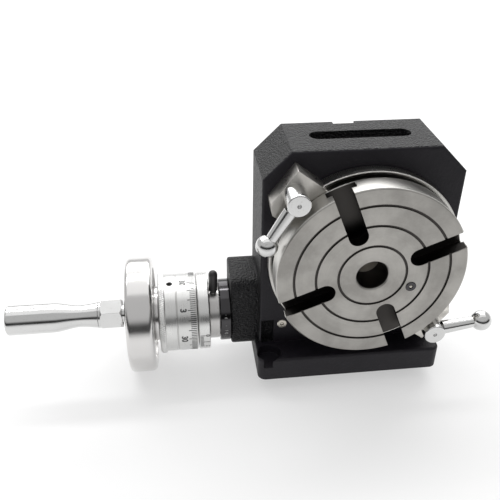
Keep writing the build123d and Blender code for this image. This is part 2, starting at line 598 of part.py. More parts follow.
with BuildPart() as worm_bush_left:
    rod(WORM, LEFT_BUSH_START, LEFT_BUSH_END - LEFT_BUSH_START, SLEEVE_BORE_R)
    rod(WORM, LEFT_BUSH_START, LEFT_BUSH_END - LEFT_BUSH_START, SHAFT_R + RUNNING, Mode.SUBTRACT)
worm_bush_left.part.label = "worm_bush_left"
export_step(worm_bush_left.part, "parts/worm_bush_left.step")

with BuildPart() as worm_bush_right:
    rod(WORM, right_bush_start, BUSH_LENGTH, SLEEVE_BORE_R)
    rod(WORM, right_bush_start, BUSH_LENGTH, SHAFT_R + RUNNING, Mode.SUBTRACT)
worm_bush_right.part.label = "worm_bush_right"
export_step(worm_bush_right.part, "parts/worm_bush_right.step")

with BuildPart() as thrust_nut:
    rod(WORM, LEFT_BUSH_START - APART - THRUST_NUT_LENGTH, THRUST_NUT_LENGTH, THRUST_NUT_R)
    rod(WORM, LEFT_BUSH_START - APART - THRUST_NUT_LENGTH, THRUST_NUT_LENGTH, SHAFT_R, Mode.SUBTRACT)
    with Locations(WORM.offset(LEFT_BUSH_START - APART - THRUST_NUT_LENGTH)):
        with PolarLocations(THRUST_NUT_R, 4):
            Box(THRUST_NUT_NOTCH, THRUST_NUT_NOTCH, THRUST_NUT_LENGTH, mode=Mode.SUBTRACT)
thrust_nut.part.label = "thrust_nut"
export_step(thrust_nut.part, "parts/thrust_nut.step")

# ---------------------------------------------------------------- dial
DIAL_RIGHT = -98.4
DIAL_LEFT = -122.0
DIAL_R = 24.8
KNURL_RIGHT = -118.0
KNURL_R = 25.6
KNURL_EDGE = 0.4
DIAL_GROOVE_AT = -110.8
DIAL_GROOVE = 0.5
HUB_R = 12.0
DIAL_BORE_R = HUB_R + RUNNING
DIAL_CUP_R = 21.5
DIAL_CUP_RIGHT = -110.0
DIAL_SCREW_AT = -114.8
DIAL_SCREW_R = 1.9
DIAL_SCREW_ANGLE = 8.0
dial_outline = [
    (DIAL_RIGHT, DIAL_CUP_R),
    (DIAL_RIGHT, DIAL_R - RING_EDGE),
    (DIAL_RIGHT - RING_EDGE, DIAL_R),
    (DIAL_GROOVE_AT + DIAL_GROOVE, DIAL_R),
    (DIAL_GROOVE_AT, DIAL_R - DIAL_GROOVE),
    (DIAL_GROOVE_AT - DIAL_GROOVE, DIAL_R),
    (KNURL_RIGHT, DIAL_R),
    (KNURL_RIGHT, KNURL_R - KNURL_EDGE),
    (KNURL_RIGHT - KNURL_EDGE, KNURL_R),
    (DIAL_LEFT + KNURL_EDGE, KNURL_R),
    (DIAL_LEFT, KNURL_R - KNURL_EDGE),
    (DIAL_LEFT, DIAL_BORE_R),
    (DIAL_CUP_RIGHT, DIAL_BORE_R),
    (DIAL_CUP_RIGHT, DIAL_CUP_R),
]
DIAL_SCREW = Plane(
    origin=(DIAL_SCREW_AT, 0, WORM_HEIGHT),
    x_dir=(1, 0, 0),
    z_dir=(0, -sin(radians(DIAL_SCREW_ANGLE)), cos(radians(DIAL_SCREW_ANGLE))),
)
with BuildPart() as dial:
    with BuildSketch(WORM_SIDE):
        with BuildLine():
            Polyline(*dial_outline, close=True)
        make_face()
    revolve(axis=WORM_AXIS)
    rod(DIAL_SCREW, 0, 2 * DIAL_R, DIAL_SCREW_R, Mode.SUBTRACT)
dial.part.label = "dial"
export_step(dial.part, "parts/dial.step")

SET_SCREW_BOTTOM = HUB_R + 0.3
SET_SCREW_LENGTH = 9.0
with BuildPart() as dial_set_screw:
    rod(DIAL_SCREW, SET_SCREW_BOTTOM, SET_SCREW_LENGTH, DIAL_SCREW_R)
    with BuildSketch(DIAL_SCREW.offset(SET_SCREW_BOTTOM + SET_SCREW_LENGTH)):
        RegularPolygon(DIAL_SCREW_R / 2, 6)
    extrude(amount=-DIAL_SCREW_R, mode=Mode.SUBTRACT)
dial_set_screw.part.label = "dial_set_screw"
export_step(dial_set_screw.part, "parts/dial_set_screw.step")

# ---------------------------------------------------------------- handwheel
WHEEL_RIGHT = -125.0
WHEEL_LEFT = -141.7
HANDWHEEL_R = 36.5
HANDWHEEL_EDGE = 3.0
HUB_RIGHT = -98.8
SHOULDER_R = 17.5
SHOULDER_RIGHT = DIAL_LEFT - APART
RIGHT_DISH_R = 29.5
RIGHT_DISH = 1.5
LEFT_DISH_R = 15.0
LEFT_DISH = 5.7
STUD_R = 4.0
STUD_DEPTH = 12.0
with BuildPart() as handwheel:
    rod(WORM, WHEEL_LEFT, WHEEL_RIGHT - WHEEL_LEFT, HANDWHEEL_R)
    fillet(handwheel.edges(), HANDWHEEL_EDGE)
    rod(WORM, WHEEL_RIGHT - RIGHT_DISH, RIGHT_DISH, RIGHT_DISH_R, Mode.SUBTRACT)
    rod(WORM, WHEEL_RIGHT - RIGHT_DISH, SHOULDER_RIGHT - WHEEL_RIGHT + RIGHT_DISH, SHOULDER_R)
    rod(WORM, SHOULDER_RIGHT, HUB_RIGHT - SHOULDER_RIGHT, HUB_R)
    rod(WORM, WHEEL_LEFT, LEFT_DISH, LEFT_DISH_R, Mode.SUBTRACT)
    rod(WORM, WHEEL_LEFT, HUB_RIGHT - WHEEL_LEFT, HUB_SEAT_R, Mode.SUBTRACT)
    with Locations(WORM.offset(WHEEL_LEFT + LEFT_DISH)):
        with Locations((0, HUB_SEAT_R, 0)):
            Box(KEY_WIDTH, KEY_WIDTH, 4 * KEY_LENGTH, mode=Mode.SUBTRACT)
    rod(HANDLE, WHEEL_LEFT, STUD_DEPTH, STUD_R, Mode.SUBTRACT)
handwheel.part.label = "handwheel"
export_step(handwheel.part, "parts/handwheel.step")

with BuildPart() as handwheel_key:
    with Locations(WORM.offset(handwheel_key_at)):
        with Locations((0, HUB_SEAT_R, 0)):
            Box(KEY_WIDTH, KEY_WIDTH, KEY_LENGTH)
handwheel_key.part.label = "handwheel_key"
export_step(handwheel_key.part, "parts/handwheel_key.step")

WASHER_R = 9.0
WASHER_THICKNESS = 1.6
NUT_ACROSS = 13.0
NUT_HEIGHT = 5.0
washer_left = WHEEL_LEFT + LEFT_DISH - WASHER_THICKNESS
with BuildPart() as handwheel_washer:
    rod(WORM, washer_left, WASHER_THICKNESS, WASHER_R)
    rod(WORM, washer_left, WASHER_THICKNESS, HUB_SEAT_R + RUNNING, Mode.SUBTRACT)
handwheel_washer.part.label = "handwheel_washer"
export_step(handwheel_washer.part, "parts/handwheel_washer.step")

with BuildPart() as handwheel_nut:
    with BuildSketch(WORM.offset(washer_left - NUT_HEIGHT)):
        RegularPolygon(NUT_ACROSS / 2, 6, major_radius=False)
        Circle(NUT_THREAD_R, mode=Mode.SUBTRACT)
    extrude(amount=NUT_HEIGHT)
handwheel_nut.part.label = "handwheel_nut"
export_step(handwheel_nut.part, "parts/handwheel_nut.step")

# ---------------------------------------------------------------- handle
NECK_AT = WHEEL_LEFT - 1.6
HANDLE_NECK_R = 5.2
HEX_ACROSS = 16.5
HEX_TURN = 20.0
HEX_END = -156.0
HEX_EDGE = 1.2
HANDLE_COLLAR_R = 7.9
COLLAR_END = -157.2
STUD_END = -203.0
END_SCREW_R = 2.0
END_SCREW_HEAD_R = 4.2
END_SCREW_HEAD = 2.5
END_SCREW_DEPTH = 10.0
GRIP_START = COLLAR_END - 0.3
GRIP_END = -211.0
GRIP_R = 8.9
GRIP_BASE_R = 7.8
GRIP_WAIST_R = 6.65
GRIP_WAIST_AT = -170.0
GRIP_FULL_AT = -185.0
GRIP_EDGE = 1.6
GRIP_RECESS_R = 5.0
GRIP_RECESS_AT = -204.0

# What the turning tool takes off the hexagon's corners, at both of its ends.
hex_corner_r = HEX_ACROSS / 2 / cos(radians(30)) + RUNNING
hex_relief = [
    (HEX_END, HEX_ACROSS / 2),
    (HEX_END + HEX_EDGE, hex_corner_r),
    (NECK_AT - HEX_EDGE, hex_corner_r),
    (NECK_AT, HEX_ACROSS / 2),
    (NECK_AT, 2 * HEX_ACROSS),
    (HEX_END, 2 * HEX_ACROSS),
]
with BuildPart() as handle_stud:
    rod(HANDLE, WHEEL_LEFT, STUD_DEPTH, STUD_R)
    rod(HANDLE, NECK_AT, WHEEL_LEFT - NECK_AT, HANDLE_NECK_R)
    with BuildSketch(HANDLE.offset(HEX_END)):
        RegularPolygon(HEX_ACROSS / 2, 6, major_radius=False, rotation=HEX_TURN)
    extrude(amount=NECK_AT - HEX_END)
    with BuildSketch(HANDLE_SIDE):
        with BuildLine():
            Polyline(*hex_relief, close=True)
        make_face()
    revolve(axis=HANDLE_AXIS, mode=Mode.SUBTRACT)
    rod(HANDLE, COLLAR_END, HEX_END - COLLAR_END, HANDLE_COLLAR_R)
    rod(HANDLE, STUD_END, COLLAR_END - STUD_END, STUD_R)
    rod(HANDLE, STUD_END, END_SCREW_DEPTH, END_SCREW_R, Mode.SUBTRACT)
handle_stud.part.label = "handle_stud"
export_step(handle_stud.part, "parts/handle_stud.step")

with BuildPart() as handle_grip:
    with BuildSketch(HANDLE_SIDE) as grip_outline:
        with BuildLine():
            Line((GRIP_START, 0), (GRIP_START, GRIP_BASE_R))
            Spline(
                (GRIP_START, GRIP_BASE_R),
                (GRIP_WAIST_AT, GRIP_WAIST_R),
                (GRIP_FULL_AT, GRIP_R),
                tangents=((-1, -0.12), (-1, 0)),
            )
            Polyline((GRIP_FULL_AT, GRIP_R), (GRIP_END, GRIP_R), (GRIP_END, 0), (GRIP_START, 0))
        make_face()
        fillet(grip_outline.vertices().group_by(Axis.X)[0].sort_by(Axis.Z)[-1], GRIP_EDGE)
    revolve(axis=HANDLE_AXIS)
    rod(HANDLE, GRIP_RECESS_AT, GRIP_START - GRIP_RECESS_AT, STUD_R + RUNNING, Mode.SUBTRACT)
    rod(HANDLE, GRIP_END, GRIP_RECESS_AT - GRIP_END, GRIP_RECESS_R, Mode.SUBTRACT)
handle_grip.part.label = "handle_grip"
export_step(handle_grip.part, "parts/handle_grip.step")

screw_head_at = GRIP_RECESS_AT - APART - END_SCREW_HEAD
with BuildPart() as handle_end_screw:
    rod(HANDLE, screw_head_at, END_SCREW_HEAD, END_SCREW_HEAD_R)
    rod(HANDLE, screw_head_at, STUD_END + END_SCREW_DEPTH - 1.0 - screw_head_at, END_SCREW_R)
    with Locations(HANDLE.offset(screw_head_at)):
        Box(DRIVER_SLOT, 3 * END_SCREW_HEAD_R, 2 * DRIVER_SLOT_DEPTH, mode=Mode.SUBTRACT)
handle_end_screw.part.label = "handle_end_screw"
export_step(handle_end_screw.part, "parts/handle_end_screw.step")

# ---------------------------------------------------------------- table clamps
DOG_FRONT = 34.6
DOG_NOSE_BACK = 31.4
DOG_BACK_EDGE = -7.0
DOG_NOSE = 16.0
DOG_SHORT_SIDE = -11.8
DOG_LONG_SIDE = 17.0
DOG_CORNER = 5.0
DOG_TURN = -37.0  # direction in which the nose points, from +X
DOG_HOLE_R = 4.4
NOSE_GAP = 0.6
BOLT_HEAD_R = 6.4
BOLT_HEAD_FRONT = 48.2
BOLT_HEAD_EDGE = 0.7
BOLT_DIMPLE_R = 1.2
LEVER_FORWARD = 42.4
LEVER_ROOT_R = 4.2
LEVER_END_R = 3.4
LEVER_STUD_R = 2.0
LEVER_STUD_DEPTH = 3.5
LEVER_LENGTH = 30.8
BALL_R = 6.3
CLAMPS = {
    "left": {"x": -CLAMP_X, "z": CLAMP_Z, "dog_turn": DOG_TURN, "lever_turn": 239.5},
    "right": {"x": CLAMP_X, "z": -CLAMP_Z, "dog_turn": DOG_TURN + 180, "lever_turn": 7.8},
}


def clamp_plane(clamp, turn):
    """Plane on the spindle's cross plane, at a clamp's bolt, with its x turned to a direction."""
    on_spindle = Location((clamp["x"], clamp["z"], 0), (0, 0, turn))
    return Plane(SPINDLE.location * on_spindle)


ball_flat = LEVER_LENGTH - (BALL_R**2 - LEVER_END_R**2) ** 0.5
for side, clamp in CLAMPS.items():
    dog_plane = clamp_plane(clamp, clamp["dog_turn"])
    with BuildPart() as clamp_dog:
        with BuildSketch(dog_plane.offset(BODY_FRONT)):
            Polygon(
                (DOG_BACK_EDGE, -DOG_SHORT_SIDE),
                (DOG_BACK_EDGE, DOG_CORNER - DOG_LONG_SIDE),
                (DOG_BACK_EDGE + DOG_CORNER, -DOG_LONG_SIDE),
                (DOG_NOSE, -DOG_LONG_SIDE),
                (DOG_NOSE, -DOG_SHORT_SIDE),
                align=None,
            )
        extrude(amount=DOG_FRONT - BODY_FRONT)
        rod(dog_plane, BODY_FRONT, DOG_FRONT - BODY_FRONT, DOG_HOLE_R, Mode.SUBTRACT)
        rod(SPINDLE, BODY_FRONT, DOG_NOSE_BACK - BODY_FRONT, SCALE_R + APART, Mode.SUBTRACT)
        rod(SPINDLE, BODY_FRONT, DOG_FRONT - BODY_FRONT, NECK_R + NOSE_GAP, Mode.SUBTRACT)
    clamp_dog.part.label = f"clamp_dog_{side}"
    export_step(clamp_dog.part, f"parts/clamp_dog_{side}.step")

    lever_plane = clamp_plane(clamp, clamp["lever_turn"])
    lever_side = Plane(
        origin=lever_plane.offset(LEVER_FORWARD).origin,
        x_dir=lever_plane.x_dir,
        z_dir=lever_plane.z_dir,
    )
    lever_axis = Axis(lever_side.origin, lever_side.x_dir)
    with BuildPart() as clamp_bolt:
        rod(lever_plane, DOG_FRONT, BOLT_HEAD_FRONT - DOG_FRONT, BOLT_HEAD_R)
        fillet(clamp_bolt.edges().sort_by(Axis.Y)[0], BOLT_HEAD_EDGE)
        shank_back = BODY_FRONT - CLAMP_HOLE_DEPTH + 1
        rod(lever_plane, shank_back, DOG_FRONT - shank_back, CLAMP_SHANK_R - RUNNING)
        with Locations(lever_plane.offset(BOLT_HEAD_FRONT)):
            Sphere(BOLT_DIMPLE_R, mode=Mode.SUBTRACT)
        with BuildSketch(lever_side):
            Rectangle(BOLT_HEAD_R + 1, LEVER_STUD_R, align=(Align.MIN, Align.MIN))
            Rectangle(
                BOLT_HEAD_R - LEVER_STUD_DEPTH,
                2 * LEVER_STUD_R,
                align=(Align.MIN, Align.MIN),
                mode=Mode.SUBTRACT,
            )
        revolve(axis=lever_axis, mode=Mode.SUBTRACT)
    clamp_bolt.part.label = f"clamp_bolt_{side}"
    export_step(clamp_bolt.part, f"parts/clamp_bolt_{side}.step")

    lever_start = BOLT_HEAD_R + 2 * RUNNING
    with BuildPart() as clamp_lever:
        with BuildSketch(lever_side):
            with BuildLine():
                Polyline(
                    (BOLT_HEAD_R - LEVER_STUD_DEPTH, 0),
                    (BOLT_HEAD_R - LEVER_STUD_DEPTH, LEVER_STUD_R),
                    (lever_start, LEVER_STUD_R),
                    (lever_start, LEVER_ROOT_R),
                    (ball_flat, LEVER_END_R),
                    (ball_flat, 0),
                    close=True,
                )
            make_face()
        revolve(axis=lever_axis)
    clamp_lever.part.label = f"clamp_lever_{side}"
    export_step(clamp_lever.part, f"parts/clamp_lever_{side}.step")

    with BuildPart() as clamp_ball:
        with BuildSketch(lever_side):
            with Locations((LEVER_LENGTH, 0)):
                Circle(BALL_R)
            Rectangle(ball_flat, 2 * BALL_R, align=(Align.MIN, Align.MIN), mode=Mode.SUBTRACT)
            Rectangle(2 * LEVER_LENGTH, 2 * BALL_R, align=(Align.MIN, Align.MAX), mode=Mode.SUBTRACT)
        revolve(axis=lever_axis)
    clamp_ball.part.label = f"clamp_ball_{side}"
    export_step(clamp_ball.part, f"parts/clamp_ball_{side}.step")

# ---------------------------------------------------------------- ball oilers
OILER_RIM_R = 3.1
OILER_PROUD = 0.5
OILER_MOUTH_R = 1.2
OILER_BALL_R = 1.45
OILER_BORE_R = 1.6
OILER_BALL_BACK = 0.9
OILER_FLOOR = 0.6
table_oiler_x = TABLE_OILER_R * cos(radians(TABLE_OILER_ANGLE))
table_oiler_z = TABLE_OILER_R * sin(radians(TABLE_OILER_ANGLE))
OILERS = {
    "body": {"x": OILER_X, "z": OILER_Z - CENTRE_HEIGHT, "face": BODY_FRONT},
    "table": {"x": table_oiler_x, "z": table_oiler_z, "face": FACE_AT},
}
for place, oiler in OILERS.items():
    oiler_plane = Plane(SPINDLE.offset(oiler["face"]).location * Location((oiler["x"], oiler["z"], 0)))
    with BuildPart() as oiler_cup:
        rod(oiler_plane, -OILER_DEPTH, OILER_DEPTH, OILER_BODY_R)
        rod(oiler_plane, 0, OILER_PROUD, OILER_RIM_R)
        chamfer(oiler_cup.edges().sort_by(Axis.Y)[0], OILER_PROUD / 2)
        rod(oiler_plane, OILER_FLOOR - OILER_DEPTH, OILER_DEPTH - OILER_FLOOR, OILER_BORE_R, Mode.SUBTRACT)
        rod(oiler_plane, 0, OILER_PROUD, OILER_MOUTH_R, Mode.SUBTRACT)
    oiler_cup.part.label = f"{place}_oiler_cup"
    export_step(oiler_cup.part, f"parts/{place}_oiler_cup.step")
    with BuildPart() as oiler_ball:
        with Locations(oiler_plane.offset(-OILER_BALL_BACK)):
            Sphere(OILER_BALL_R)
    oiler_ball.part.label = f"{place}_oiler_ball"
    export_step(oiler_ball.part, f"parts/{place}_oiler_ball.step")
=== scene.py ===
"""Looks of a small worm-driven rotary table that stands on its foot.

Row frame in metres: +Z up, +X right along the worm's axis, -Y out of the table's face.
"""

import json
from math import cos, radians, sin, tau

import bpy
from mathutils import Matrix, Vector


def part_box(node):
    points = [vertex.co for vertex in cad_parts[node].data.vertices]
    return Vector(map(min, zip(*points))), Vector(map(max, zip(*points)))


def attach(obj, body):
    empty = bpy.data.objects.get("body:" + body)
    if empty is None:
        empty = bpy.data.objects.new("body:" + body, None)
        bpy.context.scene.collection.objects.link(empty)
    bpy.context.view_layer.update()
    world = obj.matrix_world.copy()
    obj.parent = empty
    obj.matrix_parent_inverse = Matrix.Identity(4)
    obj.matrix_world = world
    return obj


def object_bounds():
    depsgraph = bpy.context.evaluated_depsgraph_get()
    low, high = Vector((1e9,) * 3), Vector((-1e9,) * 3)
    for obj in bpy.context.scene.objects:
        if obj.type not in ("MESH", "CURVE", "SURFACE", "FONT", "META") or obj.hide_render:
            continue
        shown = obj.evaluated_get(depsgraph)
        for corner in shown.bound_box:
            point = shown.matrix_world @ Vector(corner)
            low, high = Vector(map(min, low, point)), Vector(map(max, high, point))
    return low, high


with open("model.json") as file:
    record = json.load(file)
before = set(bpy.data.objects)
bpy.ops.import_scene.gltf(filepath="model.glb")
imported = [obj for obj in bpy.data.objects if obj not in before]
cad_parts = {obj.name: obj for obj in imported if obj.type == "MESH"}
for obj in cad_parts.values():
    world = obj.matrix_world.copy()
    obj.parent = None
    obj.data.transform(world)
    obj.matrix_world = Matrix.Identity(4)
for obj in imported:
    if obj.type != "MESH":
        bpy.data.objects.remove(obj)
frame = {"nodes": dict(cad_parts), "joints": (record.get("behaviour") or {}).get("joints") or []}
cad_box = [list(corner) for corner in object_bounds()]
nodes = frame["nodes"]
MM = 0.001

# ---------------------------------------------------------------- stations: the spindle's and the worm's heights read from the frame, the rest given
SPINDLE_Z = next(j["pos_m"][2] for j in frame["joints"] if j["name"] == "table_spin")
WORM_Z = next(j["pos_m"][2] for j in frame["joints"] if j["name"] == "worm_spin")
BODY_FRONT_Y = -22.8 * MM
FACE_STEP_Y = -47.55 * MM  # just behind the table's face
SLOTS_BACK_Y = -31.2 * MM
RIM_R = 54.7 * MM
DIAL_R = 24.8 * MM
SCALE_R = 56.5 * MM
SCALE_BACK_Y = -23.8 * MM
PROUD = 0.03 * MM  # how far a filled mark stands off the metal


# ---------------------------------------------------------------- material kit
class Nodes:
    """A material whose nodes are added and wired by short calls."""

    def __init__(self, name):
        self.material = bpy.data.materials.new(name)
        self.material.use_nodes = True
        self.tree = self.material.node_tree
        self.shader = self.tree.nodes["Principled BSDF"]
        place = self.add("ShaderNodeTexCoord")
        self.place = place.outputs["Object"]

    def add(self, kind, **settings):
        node = self.tree.nodes.new(kind)
        for key, value in settings.items():
            setattr(node, key, value)
        return node

    def wire(self, value, socket):
        """Link a socket to an input, or set a plain value on it."""
        if isinstance(value, bpy.types.NodeSocket):
            self.tree.links.new(value, socket)
        else:
            socket.default_value = value

    def calc(self, operation, a, b=0.0, c=0.0):
        node = self.add("ShaderNodeMath", operation=operation)
        for value, socket in zip((a, b, c), node.inputs):
            self.wire(value, socket)
        return node.outputs[0]

    def xyz(self):
        node = self.add("ShaderNodeSeparateXYZ")
        self.wire(self.place, node.inputs[0])
        return node.outputs

    def moved(self, offset, scale=(1, 1, 1), rotation=(0, 0, 0)):
        node = self.add("ShaderNodeMapping")
        self.wire(self.place, node.inputs["Vector"])
        node.inputs["Location"].default_value = offset
        node.inputs["Scale"].default_value = scale
        node.inputs["Rotation"].default_value = rotation
        return node.outputs[0]

    def noise(self, where, scale, detail=3.0, roughness=0.5):
        node = self.add("ShaderNodeTexNoise")
        self.wire(where, node.inputs["Vector"])
        node.inputs["Scale"].default_value = scale
        node.inputs["Detail"].default_value = detail
        node.inputs["Roughness"].default_value = roughness
        return node.outputs["Fac"]

    def cells(self, where, scale, feature="F1"):
        node = self.add("ShaderNodeTexVoronoi", feature=feature)
        self.wire(where, node.inputs["Vector"])
        node.inputs["Scale"].default_value = scale
        return node.outputs["Distance"]

    def span(self, value, low, high, to_low=0.0, to_high=1.0):
        """Value from low to high, smoothly remapped."""
        node = self.add("ShaderNodeMapRange", interpolation_type="SMOOTHSTEP")
        for part, socket in zip((value, low, high, to_low, to_high), node.inputs):
            self.wire(part, socket)
        return node.outputs[0]

    def blend(self, share, a, b):
        node = self.add("ShaderNodeMix", data_type="RGBA")
        self.wire(share, node.inputs[0])
        self.wire(a, node.inputs[6])
        self.wire(b, node.inputs[7])
        return node.outputs[2]

    def bump(self, height, distance, strength=1.0, below=None):
        node = self.add("ShaderNodeBump")
        self.wire(height, node.inputs["Height"])
        self.wire(distance, node.inputs["Distance"])
        self.wire(strength, node.inputs["Strength"])
        if below is not None:
            self.wire(below, node.inputs["Normal"])
        return node.outputs[0]

    def rounded(self, radius):
        node = self.add("ShaderNodeBevel", samples=4)
        node.inputs["Radius"].default_value = radius
        return node.outputs[0]

    def finish(self, color, roughness, metallic=0.0, normal=None, **more):
        self.wire(color, self.shader.inputs["Base Color"])
        self.wire(roughness, self.shader.inputs["Roughness"])
        self.wire(metallic, self.shader.inputs["Metallic"])
        if normal is not None:
            self.wire(normal, self.shader.inputs["Normal"])
        for key, value in more.items():
            self.shader.inputs[key.replace("_", " ")].default_value = value
        return self.material


def rgb(r, g, b):
    return (r, g, b, 1.0)


def radius_about(n, axis, centre):
    """Distance from an axis along X or Y through a centre, and the position along it."""
    parts = n.xyz()
    first = 1 if axis == "X" else 0
    a = n.calc("SUBTRACT", parts[first], centre[first])
    b = n.calc("SUBTRACT", parts[2], centre[2])
    squares = n.calc("ADD", n.calc("MULTIPLY", a, a), n.calc("MULTIPLY", b, b))
    return n.calc("SQRT", squares), parts[0 if axis == "X" else 1]


def line_noise(n, first, second, scale):
    """Noise that varies along two coordinates only, as turning or grinding lines do."""
    joined = n.add("ShaderNodeCombineXYZ")
    n.wire(first, joined.inputs[0])
    n.wire(second, joined.inputs[1])
    return n.noise(joined.outputs[0], scale, detail=4.0, roughness=0.7)


def wrinkle_paint():
    n = Nodes("black_wrinkle_paint")
    parts = n.xyz()
    front = n.span(parts[1], BODY_FRONT_Y + 1.3 * MM, BODY_FRONT_Y)
    coarse = n.noise(n.place, 760.0, detail=4.0, roughness=0.6)
    pebble = n.span(n.cells(n.place, 900.0, feature="SMOOTH_F1"), 0.0, 0.75, 1.0, 0.0)
    wrinkles = n.calc("ADD", n.calc("MULTIPLY", coarse, 0.75), n.calc("MULTIPLY", pebble, 0.55))
    cast = n.noise(n.place, 130.0, detail=3.0)
    glint = n.span(n.noise(n.place, 820.0, detail=3.0, roughness=0.7), 0.57, 0.70)
    depth = n.span(front, 0.0, 1.0, 0.0011, 0.0001)
    normal = n.bump(wrinkles, depth, 1.0, n.rounded(0.0006))
    normal = n.bump(cast, 0.0005, 0.5, normal)
    rough_color = n.blend(n.calc("MULTIPLY", glint, 0.7), rgb(0.006, 0.006, 0.007), rgb(0.085, 0.085, 0.085))
    smooth_color = n.blend(cast, rgb(0.006, 0.005, 0.008), rgb(0.012, 0.010, 0.015))
    color = n.blend(front, rough_color, smooth_color)
    roughness = n.span(front, 0.0, 1.0, 0.46, 0.52)
    return n.finish(color, roughness, 0.0, normal, Specular_IOR_Level=0.32)


def ground_steel():
    """Table: ground bright outside; in the slots, grooves and the bore rougher milled steel, made near black
    with painted shade.
    """
    n = Nodes("ground_steel_table")
    radius, along = radius_about(n, "Y", (0, 0, SPINDLE_Z))
    sunk = n.span(along, FACE_STEP_Y, FACE_STEP_Y + 0.3 * MM)
    ahead = n.span(along, SLOTS_BACK_Y, SLOTS_BACK_Y - 0.4 * MM)
    inside = n.span(radius, RIM_R, RIM_R - 0.3 * MM)
    # painted shade: surfaces recessed behind the face (slots, grooves, bore) are masked here for a
    # near-black colour
    dark = n.calc("MULTIPLY", n.calc("MULTIPLY", sunk, ahead), inside)
    rings = line_noise(n, radius, along, 2600.0)
    clouds = n.noise(n.place, 55.0, detail=4.0, roughness=0.6)
    bright = n.blend(rings, rgb(0.34, 0.33, 0.31), rgb(0.48, 0.465, 0.44))
    bright = n.blend(n.span(clouds, 0.30, 0.72, 0.0, 0.55), bright, rgb(0.20, 0.192, 0.180))
    rim = n.span(radius, RIM_R - 0.2 * MM, RIM_R + 0.1 * MM)
    bright = n.blend(n.calc("MULTIPLY", rim, 0.9), bright, rgb(0.66, 0.65, 0.62))
    # painted shade: the recesses get a near-black steel colour
    color = n.blend(dark, bright, rgb(0.060, 0.056, 0.053))
    roughness = n.calc("ADD", n.calc("MULTIPLY", rings, 0.10), n.calc("MULTIPLY", clouds, 0.08))
    roughness = n.calc("ADD", roughness, n.span(dark, 0.0, 1.0, 0.22, 0.30))
    normal = n.bump(rings, 0.00003, 0.35, n.rounded(0.0002))
    grain = n.add("ShaderNodeTangent", direction_type="RADIAL", axis="Y")
    n.wire(grain.outputs[0], n.shader.inputs["Tangent"])
    return n.finish(color, roughness, 1.0, normal, Anisotropic=0.7)


def flat_steel():
    """Clamp dogs: ground flat, with fine straight lines."""
    n = Nodes("ground_steel_flat")
    lines = n.noise(n.moved((0, 0, 0), (3000.0, 3000.0, 140.0), (0, radians(37), 0)), 1.0, detail=3.0)
    clouds = n.noise(n.place, 90.0, detail=3.0)
    color = n.blend(lines, rgb(0.58, 0.56, 0.53), rgb(0.72, 0.70, 0.66))
    roughness = n.span(clouds, 0.2, 0.8, 0.26, 0.40)
    normal = n.bump(lines, 0.00002, 0.4, n.rounded(0.0005))
    return n.finish(color, roughness, 1.0, normal)


def turned_steel(name, axis, centre, colors, roughnesses, fine, edge=0.2 * MM):
    """Metal turned about an axis, with its fine lines running round it.

    colors and roughnesses are each a lowest and a highest value, and fine is how close the lines are.
    """
    n = Nodes(name)
    radius, along = radius_about(n, axis, centre)
    lines = line_noise(n, radius, along, fine)
    clouds = n.noise(n.place, 110.0, detail=3.0)
    color = n.blend(lines, rgb(*colors[0]), rgb(*colors[1]))
    mixed = n.calc("ADD", n.calc("MULTIPLY", lines, 0.5), n.calc("MULTIPLY", clouds, 0.5))
    roughness = n.span(mixed, 0.25, 0.75, *roughnesses)
    normal = n.bump(lines, 0.00002, 0.25, n.rounded(edge))
    return n.finish(color, roughness, 1.0, normal)


def polished_chrome(name="polished_chrome", tint=(0.66, 0.66, 0.655), smooth=0.10):
    n = Nodes(name)
    smears = n.noise(n.place, 70.0, detail=4.0, roughness=0.65)
    specks = n.noise(n.place, 900.0, detail=2.0)
    roughness = n.span(smears, 0.3, 0.75, smooth, smooth + 0.09)
    color = n.blend(n.span(specks, 0.62, 0.75), rgb(*tint), rgb(*(0.86 * part for part in tint)))
    normal = n.bump(smears, 0.00012, 0.18, n.rounded(0.0003))
    return n.finish(color, roughness, 1.0, normal)


def black_oxide():
    n = Nodes("black_oxide")
    radius, along = radius_about(n, "X", (0, 0, WORM_Z))
    lines = line_noise(n, radius, along, 2400.0)
    patches = n.noise(n.place, 140.0, detail=3.0)
    color = n.blend(patches, rgb(0.050, 0.048, 0.051), rgb(0.085, 0.083, 0.086))
    roughness = n.span(lines, 0.3, 0.7, 0.08, 0.13)
    normal = n.bump(lines, 0.00002, 0.3, n.rounded(0.0003))
    return n.finish(color, roughness, 1.0, normal)


def dipped_vinyl():
    n = Nodes("black_vinyl")
    skin = n.noise(n.place, 260.0, detail=4.0)
    grain = n.noise(n.place, 1800.0, detail=2.0)
    color = n.blend(skin, rgb(0.012, 0.012, 0.013), rgb(0.032, 0.031, 0.032))
    normal = n.bump(skin, 0.00025, 0.5, n.bump(grain, 0.00003, 0.5))
    return n.finish(color, n.span(grain, 0.3, 0.7, 0.36, 0.5), 0.0, normal)


def bronze():
    n = Nodes("bronze")
    stains = n.noise(n.place, 120.0, detail=4.0)
    color = n.blend(stains, rgb(0.50, 0.31, 0.14), rgb(0.62, 0.43, 0.22))
    return n.finish(color, n.span(stains, 0.3, 0.7, 0.28, 0.42), 1.0, n.bump(stains, 0.00005, 0.3))


def fill_paint(name, low, high):
    """Paint in an engraved mark, worn a little unevenly."""
    n = Nodes(name)
    wear = n.noise(n.place, 1400.0, detail=3.0)
    return n.finish(n.blend(wear, rgb(*low), rgb(*high)), n.span(wear, 0.3, 0.7, 0.5, 0.7))


